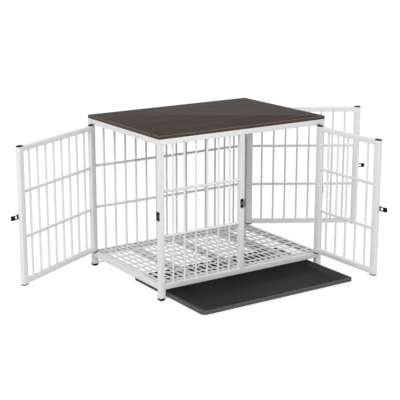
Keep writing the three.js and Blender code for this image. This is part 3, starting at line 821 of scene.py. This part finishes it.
class CRATE_OT_tray(bpy.types.Operator):
    """Builds the pull-out tray with its rim and ribbed walls"""

    bl_idname = "crate_table.tray"
    bl_label = "Tray"

    def execute(self, context):
        tray = context.scene.crate_tray
        low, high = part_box("tray")
        foot = tray.rim + tray.slope
        top, bottom, sheet = high.z, low.z, tray.sheet
        floor = bottom + sheet
        rise = top - floor
        # How far in from the tray's edge each ring lies, its height, and its share of a rib.
        slope = [(foot - tray.slope * s, rise * s, math.sin(math.pi * s) ** 0.5)
                 for s in (0.12, 0.3, 0.5, 0.7, 0.88)]
        upper = [(foot + 14 * MM, floor, 0), (foot + 3 * MM, floor, 0),
                 (foot, floor + 0.3 * MM, 0)]
        upper += [(inset, floor + up, rib) for inset, up, rib in slope]
        upper += [(tray.rim + 1 * MM, top - 0.4 * MM, 0), (tray.rim - 1 * MM, top, 0)]
        edge = [(1.8 * MM, top, 0), (0.6 * MM, top - 0.4 * MM, 0), (0, top - 1.8 * MM, 0),
                (0, bottom + 0.6 * MM, 0), (0.5 * MM, bottom, 0), (sheet, bottom, 0),
                (sheet, top - sheet - 1 * MM, 0), (sheet + 1 * MM, top - sheet, 0)]
        lower = [(tray.rim, top - sheet, 0)]
        lower += [(inset, bottom + up, rib) for inset, up, rib in reversed(slope)]
        lower += [(foot, bottom, 0), (foot + 14 * MM, bottom, 0)]
        mesh = bmesh.new()
        bands = loft(mesh, [self.ring(tray, low, high, *station)
                            for station in upper + edge + lower])
        rim = len(upper)
        # The sloped walls take a lighter copy of the plastic, as painted light.
        paint(bands[2:rim - 1], 1)
        # The rim and skirt take a lighter copy of the plastic, a painted highlight.
        paint(bands[rim - 1:rim + 4], 2)
        add_piece("tray_shell", mesh, "tray", ("tray", "tray_wall_painted_light", "tray_edge_painted_highlight"), "tray",
                  sharp=45)
        return {"FINISHED"}

    @staticmethod
    def ring(tray, low, high, inset, z, rib):
        """A rounded rectangle set in from the tray's edge, rippled by its share of the ribs."""
        radius = max(tray.corner - inset, 6 * MM)
        corner_steps = 8
        points_per_rib = 6
        fade_length = 20 * MM
        outline = rounded_rectangle((low.x + inset, low.y + inset),
                                    (high.x - inset, high.y - inset), radius, corner_steps)
        spacing = tray.rib_pitch / points_per_rib
        clear = tray.corner + tray.slope + tray.rim
        points = []
        size = (high.x - low.x, high.y - low.y)
        for i, start in enumerate(outline):
            points.append(Vector((*start, z)))
            if (i + 1) % (corner_steps + 1):
                continue
            # A straight side follows each corner: it runs along x after corners 1 and 3.
            end = outline[(i + 1) % len(outline)]
            along = 0 if (i + 1) // (corner_steps + 1) % 2 else 1
            count = round(size[along] / spacing)
            middle = (low[along] + high[along]) / 2
            for k in range(1, count):
                place = Vector(start).lerp(Vector(end), k / count)
                from_middle = abs(place[along] - middle)
                room = size[along] / 2 - clear - from_middle
                fade = min(1.0, max(0.0, room / fade_length))
                wave = math.cos(2 * math.pi * (place[along] - middle) / tray.rib_pitch)
                points.append(Vector((*place, z + tray.rib_height * rib * fade * wave)))
        return points


class CRATE_OT_tray_runners(bpy.types.Operator):
    """Builds the bars that the tray slides on and their screws"""

    bl_idname = "crate_table.tray_runners"
    bl_label = "Tray Runners"

    def execute(self, context):
        bar_x = 380 * MM
        half = 3 * MM
        height = 4 * MM
        arm_y = 322 * MM
        foot_gap = 0.3 * MM
        tab = 3 * MM
        tab_length = 23 * MM
        screw_height = 41 * MM
        screw_head = [(d * MM, r * MM) for d, r in (
            (0.0, 4.0), (0.9, 3.9), (1.6, 3.2), (1.95, 2.0), (2.0, 1.2), (1.3, 1.0), (1.2, 0.2))]
        soft = 0.8 * MM
        for place, side in (("left", -1), ("right", 1)):
            node = f"tray_runner_{place}"
            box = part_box(node)
            low, high = box
            wall_x = at_side(box, 0, side)
            mesh = bmesh.new()
            top = low.z + height
            moulded_block(mesh, (side * (bar_x - half), -arm_y, low.z),
                          (side * (bar_x + half), arm_y, top), soft)
            for row, end in (("front", -1), ("back", 1)):
                post_low, post_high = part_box(f"post_{row}_{place}")
                arm_end = at_side(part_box(f"foot_{row}_{place}"), 0, -side) - side * foot_gap
                moulded_block(mesh, (side * (bar_x - half), end * (arm_y - half), low.z),
                              (arm_end, end * (arm_y + half), top), soft)
                y = at_side(box, 1, end)
                moulded_block(mesh, (wall_x, y, post_low.z + foot_gap),
                              (wall_x - side * tab, y - end * tab_length, high.z), 0.6 * MM)
                screw = Vector((wall_x - side * tab, (post_low.y + post_high.y) / 2,
                                FLOOR_Z + screw_height))
                turned(mesh, screw, (-side, 0, 0), screw_head, 20)
            add_piece(f"tray_slide_{place}", mesh, "crate", ("steel",), node)
        return {"FINISHED"}


class CRATE_OT_keepers(bpy.types.Operator):
    """Builds the latch keepers on the posts"""

    bl_idname = "crate_table.keepers"
    bl_label = "Keepers"

    def execute(self, context):
        edge = context.scene.crate_plastic.edge
        posts = {
            "left": ("post_front_left", (0, -1, 0), (1, 0, 0)),
            "right": ("post_front_right", (0, -1, 0), (-1, 0, 0)),
            "front": ("post_front_middle", (-1, 0, 0), (0, 1, 0)),
        }
        for side, (post, over, inwards) in posts.items():
            over, inwards = Vector(over), Vector(inwards)
            # u runs from the opening over the post's face and d inwards from that face.
            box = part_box(post)
            origin = [at_side(box, axis, -(over + inwards)[axis]) for axis in (0, 1)]
            self.build(f"{side}_door_keeper", side, place_at(origin, over, inwards), edge)
        return {"FINISHED"}

    @staticmethod
    def build(node, side, place, edge):
        """A swelling plate with a window on the post's face, and the strip at its edge."""
        low, high = local_box(node, place)
        middle_z = (low.z + high.z) / 2
        start = 7 * MM
        bumper = Vector((0, high.y, high.z))
        neck = 1.5 * MM
        skin = 0.4 * MM
        window = ((start + 4 * MM, middle_z - 8 * MM), (high.x - 3 * MM, middle_z + 8 * MM))
        # The hook slides under the plate here, out of sight behind the window's near edge.
        pocket = ((start + 1.5 * MM, middle_z - 8.3 * MM),
                  (high.x - 2.7 * MM, middle_z + 8.3 * MM))
        pocket_roof = 1.5 * MM
        plate = ((start, low.z), (high.x, high.z))
        half = (high.z - low.z) / 2
        mesh = bmesh.new()

        def plate_ring(corners, grow, lift, radius):
            outline = rounded_rectangle((corners[0][0] - grow, corners[0][1] - grow),
                                        (corners[1][0] + grow, corners[1][1] + grow), radius, 6)
            ring = []
            for u, z in outline:
                # The plate is full height over its middle and falls away to its ends.
                away = max(0.0, abs(z - middle_z) / half - 0.6) / 0.4
                ring.append(Vector((u, (low.y + lift) * (1 - 0.5 * away ** 2), z)))
            return ring

        base = -low.y
        outer, inner = 4 * MM, 2 * MM
        loft(mesh, [
            plate_ring(plate, -edge, 0, outer),
            plate_ring(plate, -0.3 * edge, 0.3 * edge, outer),
            plate_ring(plate, 0, edge, outer),
            plate_ring(plate, 0, base, outer),
            plate_ring(pocket, 0, base, inner),
            plate_ring(pocket, 0, pocket_roof, inner),
            plate_ring(window, 0, pocket_roof, inner),
            plate_ring(window, 0, edge, inner),
            plate_ring(window, 0.4 * edge, 0.3 * edge, inner),
            plate_ring(window, edge, 0, inner),
        ], closed=True)
        moulded_block(mesh, (low.x, -1 * MM, low.z), bumper, 1.2 * MM, 3)
        moulded_block(mesh, (-1 * MM, -1 * MM, middle_z - neck),
                      (start + 1 * MM, 0, middle_z + neck), 0.3 * MM)
        pad = moulded_block(
            mesh, (window[0][0] - 0.5 * MM, -skin - 0.3 * MM, window[0][1] - 0.5 * MM),
            (window[1][0] + 0.5 * MM, -0.02 * MM, window[1][1] + 0.5 * MM), 0.1 * MM, 1)
        paint([pad], 1)
        add_piece(f"keeper_{side}_door", mesh, "crate", ("black", "pad"), node, place=place)


class CRATE_OT_doors(bpy.types.Operator):
    """Builds the welded frames and bars of the three doors"""

    bl_idname = "crate_table.doors"
    bl_label = "Doors"

    def execute(self, context):
        steel = context.scene.crate_steel
        bars = {"left": steel.side_door_bars, "right": steel.side_door_bars,
                "front": steel.front_door_bars}
        for side in DOOR_HAND:
            place = door_place(side)
            node = f"{side}_door_frame"
            low, high = local_box(node, place)
            cap_low, cap_high = local_box(f"{side}_door_hinge_cap_top", place)
            stile = cap_high.x - cap_low.x
            x0, x1 = low.x + stile, high.x - stile
            z0, z1 = low.z + steel.door_rail, high.z - steel.door_rail
            mesh = bmesh.new()
            hollow_tube(mesh, low, (x0, high.y, high.z), 2, steel)
            hollow_tube(mesh, (x1, low.y, low.z), high, 2, steel)
            hollow_tube(mesh, (x0, low.y, low.z), (x1, high.y, z0), 0, steel, steel.bead)
            hollow_tube(mesh, (x0, low.y, z1), (x1, high.y, high.z), 0, steel, steel.bead)
            grille(mesh, steel, (x0, z0), (x1, z1), bars[side], steel.door_end_bar,
                   (low.y + high.y) / 2)
            add_piece(f"{side}_door_weldment", mesh, f"{side}_door", ("steel",), node, place=place)
        return {"FINISHED"}


class CRATE_OT_door_caps(bpy.types.Operator):
    """Builds the black caps on the door uprights, with the hinge pins"""

    bl_idname = "crate_table.door_caps"
    bl_label = "Door Caps"

    def execute(self, context):
        edge = context.scene.crate_plastic.edge
        plate = 5.2 * MM
        gap = 0.3 * MM
        pin_radius = 2.5 * MM
        pin_taper = 0.6 * MM
        inset = context.scene.crate_steel.wall + gap
        caps = [(side, end, up, kind) for side in DOOR_HAND
                for end, up in (("top", 1), ("bottom", -1)) for kind in ("hinge", "end")]
        for side, end, up, kind in caps:
            place = door_place(side)
            face = at_side(local_box(f"{side}_door_frame", place), 2, up) + up * gap
            node = f"{side}_door_{kind}_cap_{end}"
            box = local_box(node, place)
            low, high = box
            mesh = bmesh.new()
            levels = sorted((face, face + up * plate))
            closed_tube(mesh, (low.x, low.y, levels[0]), (high.x, high.y, levels[1]), 2,
                        2 * MM, edge)
            plug = sorted((face + up * gap, at_side(box, 2, -up)))
            closed_tube(mesh, (low.x + inset, low.y + inset, plug[0]),
                        (high.x - inset, high.y - inset, plug[1]), 2, 1 * MM)
            if kind == "hinge":
                reach = abs(at_side(box, 2, up) - face)
                turned(mesh, (0, 0, face), (0, 0, up),
                       [(1 * MM, pin_radius), (reach - pin_taper, pin_radius),
                        (reach, pin_radius - pin_taper)], 20)
            add_piece(f"{side}_door_{kind}_plug_{end}", mesh, f"{side}_door", ("black",), node,
                      place=place)
        return {"FINISHED"}


class CRATE_OT_latches(bpy.types.Operator):
    """Builds the latch plates on the doors and the bolts that slide on them"""

    bl_idname = "crate_table.latches"
    bl_label = "Latches"

    def execute(self, context):
        edge = context.scene.crate_plastic.edge
        for side in DOOR_HAND:
            place = door_place(side)
            self.build_plate(side, place, edge)
            self.build_bolt(side, place, edge)
        return {"FINISHED"}

    @staticmethod
    def build_plate(side, place, edge):
        """A base on the upright, a web that the bolt straddles and a flange over both."""
        node = f"{side}_door_latch_plate"
        low, high = local_box(node, place)
        middle = (low.z + high.z) / 2
        flange = 2 * MM
        base = 4.2 * MM
        web = 5.5 * MM
        mesh = bmesh.new()
        moulded_block(mesh, (low.x, high.y - base, low.z), high, edge)
        moulded_block(mesh, (low.x, low.y + 1 * MM, middle - web),
                      (high.x, high.y - 1 * MM, middle + web), 0.3 * MM)
        moulded_block(mesh, (low.x, low.y, low.z + 2 * MM),
                      (high.x, low.y + flange, high.z - 2 * MM), edge, 3)
        add_piece(f"{side}_latch_base", mesh, f"{side}_door", ("black",), node, place=place)

    @staticmethod
    def build_bolt(side, place, edge):
        """Two prongs, a thick end with a grey pad set in its face, and the hook behind it."""
        node = f"{side}_door_latch_bolt"
        box = local_box(node, place)
        low, high = box
        frame_high = local_box(f"{side}_door_frame", place)[1]
        middle = (low.z + high.z) / 2
        block = 17 * MM
        block_depth = 10 * MM
        prong_depth = 3.7 * MM
        prong_height = 4.2 * MM
        back = low.y + block_depth
        mesh = bmesh.new()
        start = high.x - block

        def block_ring(depth, inset, radius):
            outline = rounded_rectangle((start + inset, low.z + inset),
                                        (high.x - inset, high.z - inset), radius, 5)
            return [Vector((x, depth, z)) for x, z in outline]

        pocket = 3.2 * MM
        bands = loft(mesh, [
            block_ring(back, 0.5 * MM, 2.5 * MM),
            block_ring(back - 0.5 * MM, 0.0, 3 * MM),
            block_ring(low.y + 1.2 * MM, 0.0, 3 * MM),
            block_ring(low.y + 0.35 * MM, 0.4 * MM, 2.8 * MM),
            block_ring(low.y, 1.3 * MM, 2.4 * MM),
            block_ring(low.y, pocket, 2 * MM),
            block_ring(low.y + 0.8 * MM, pocket + 0.3 * MM, 1.8 * MM),
            block_ring(low.y + 0.6 * MM, pocket + 0.6 * MM, 1.6 * MM),
        ])
        paint([bands[-2], bands[-1][1:]], 1)
        for up in (-1, 1):
            outer = at_side(box, 2, up)
            moulded_block(mesh, (low.x, back - prong_depth, outer),
                          (start + 1 * MM, back, outer - up * prong_height), edge)
        neck = frame_high.x + 23.5 * MM
        hook = 5 * MM
        moulded_block(mesh, (neck, back - 1 * MM, middle - hook),
                      (neck + 2.5 * MM, high.y, middle + hook), 0.4 * MM)
        moulded_block(mesh, (neck - 2.5 * MM, high.y - 1.2 * MM, middle - hook),
                      (neck + 2.5 * MM, high.y, middle + hook), 0.3 * MM)
        add_piece(f"{side}_latch_slide_bolt", mesh, f"{side}_latch", ("black", "pad"), node,
                  place=place)


class CRATE_OT_stage(bpy.types.Operator):
    """Sets up the camera, the lamps, the world and the floor"""

    bl_idname = "crate_table.stage"
    bl_label = "Stage"

    def execute(self, context):
        stage = context.scene.crate_stage
        scene = context.scene
        camera = bpy.data.cameras.new("camera")
        camera.lens = stage.lens
        camera.sensor_width = 36
        camera.clip_end = 100
        turn, tilt = stage.azimuth, stage.elevation
        back = Vector((math.sin(turn) * math.cos(tilt), -math.cos(turn) * math.cos(tilt),
                       math.sin(tilt)))
        scene.camera = self.stand(scene, "camera", camera, stage.camera, back)
        self.add_world(scene, stage)
        self.add_floor(scene, stage)
        centre = (CAD_BOX[0] + CAD_BOX[1]) / 2
        lamp_side = 3.0
        # Each lamp: where it stands from the middle of the crate, and its power.
        lamps = {
            "key": ((-3.6, -2.4, 3.4), 125),
            "front": ((1.6, -4.6, 2.0), 28),
            "back": ((2.4, 3.6, 3.0), 20),
        }
        for name, (offset, power) in lamps.items():
            lamp = bpy.data.lights.new(f"{name}_lamp", "AREA")
            lamp.shape = "SQUARE"
            lamp.size = lamp_side
            lamp.energy = power
            offset = Vector(offset)
            self.stand(scene, f"{name}_lamp", lamp, centre + offset, offset)
        scene.view_settings.view_transform = "Standard"
        return {"FINISHED"}

    @staticmethod
    def stand(scene, name, data, location, back):
        """Puts a camera or a lamp in the scene with its back to a direction."""
        thing = bpy.data.objects.new(name, data)
        thing.location = location
        thing.rotation_mode = "QUATERNION"
        thing.rotation_quaternion = (-back).to_track_quat("-Z", "Y")
        scene.collection.objects.link(thing)
        return thing

    @staticmethod
    def add_world(scene, stage):
        """White where it is seen or reflected, and a softer light elsewhere."""
        world = bpy.data.worlds.new("studio")
        world.use_nodes = True
        world.node_tree.nodes.clear()
        ray = add_node(world, "ShaderNodeLightPath").outputs
        larger = {"operation": "MAXIMUM"}
        mirrored = add_node(world, "ShaderNodeMath", larger,
                            (ray["Is Glossy Ray"], ray["Is Transmission Ray"]))
        seen = add_node(world, "ShaderNodeMath", larger,
                        (mirrored, ray["Is Camera Ray"]))
        soft = add_node(world, "ShaderNodeBackground", Color=WHITE, Strength=stage.sky)
        white = add_node(world, "ShaderNodeBackground", Color=WHITE, Strength=1.0)
        mix = add_node(world, "ShaderNodeMixShader", inputs=(seen, soft, white))
        add_node(world, "ShaderNodeOutputWorld", Surface=mix)
        scene.world = world

    @staticmethod
    def add_floor(scene, stage):
        """A wide floor that is seen as white and keeps a faint shadow."""
        mesh = bmesh.new()
        bmesh.ops.create_grid(mesh, x_segments=1, y_segments=1, size=20)
        data = bpy.data.meshes.new("studio_floor")
        mesh.to_mesh(data)
        mesh.free()
        floor = bpy.data.objects.new("studio_floor", data)
        floor.location.z = FLOOR_Z
        material, _ = new_material("studio_floor")
        matt = add_node(material, "ShaderNodeBsdfDiffuse", Color=stage.floor)
        glow = add_node(material, "ShaderNodeEmission", Color=WHITE, Strength=stage.glow)
        ray = add_node(material, "ShaderNodeLightPath").outputs
        share = add_node(material, "ShaderNodeMath", {"operation": "MULTIPLY"},
                         (ray["Is Camera Ray"], stage.glow_share))
        mix = add_node(material, "ShaderNodeMixShader", inputs=(share, matt, glow))
        add_node(material, "ShaderNodeOutputMaterial", Surface=mix)
        data.materials.append(material)
        scene.collection.objects.link(floor)


class CRATE_PT_sidebar(bpy.types.Panel):
    """Lists the crate's pieces and settings in the sidebar"""

    bl_idname = "CRATE_PT_sidebar"
    bl_label = "Crate Table"
    bl_space_type = "VIEW_3D"
    bl_region_type = "UI"
    bl_category = "Crate Table"

    def draw(self, context):
        for operator in OPERATORS:
            self.layout.operator(operator.bl_idname)
        for name, group in SETTINGS.items():
            box = self.layout.box()
            box.label(text=group.__doc__)
            for setting in group.__annotations__:
                box.prop(getattr(context.scene, name), setting)


SETTINGS = {
    "crate_steel": SteelSettings,
    "crate_board": BoardSettings,
    "crate_plastic": PlasticSettings,
    "crate_grate": GrateSettings,
    "crate_tray": TraySettings,
    "crate_stage": StageSettings,
}
OPERATORS = (
    CRATE_OT_stage,
    CRATE_OT_table_top,
    CRATE_OT_steel_frame,
    CRATE_OT_panels,
    CRATE_OT_feet,
    CRATE_OT_frame_bolts,
    CRATE_OT_floor_grate,
    CRATE_OT_tray,
    CRATE_OT_tray_runners,
    CRATE_OT_keepers,
    CRATE_OT_doors,
    CRATE_OT_door_caps,
    CRATE_OT_latches,
)


def register():
    for group in SETTINGS.values():
        bpy.utils.register_class(group)
    for name, group in SETTINGS.items():
        setattr(bpy.types.Scene, name, bpy.props.PointerProperty(type=group))
    for operator in OPERATORS:
        bpy.utils.register_class(operator)
    bpy.utils.register_class(CRATE_PT_sidebar)


def unregister():
    bpy.utils.unregister_class(CRATE_PT_sidebar)
    for operator in reversed(OPERATORS):
        bpy.utils.unregister_class(operator)
    for name, group in SETTINGS.items():
        delattr(bpy.types.Scene, name)
        bpy.utils.unregister_class(group)


def main():
    """Registers the add-on and builds every piece and the stage."""
    register()
    for operator in OPERATORS:
        family, name = operator.bl_idname.split(".")
        getattr(getattr(bpy.ops, family), name)()


if __name__ == "__main__":
    main()
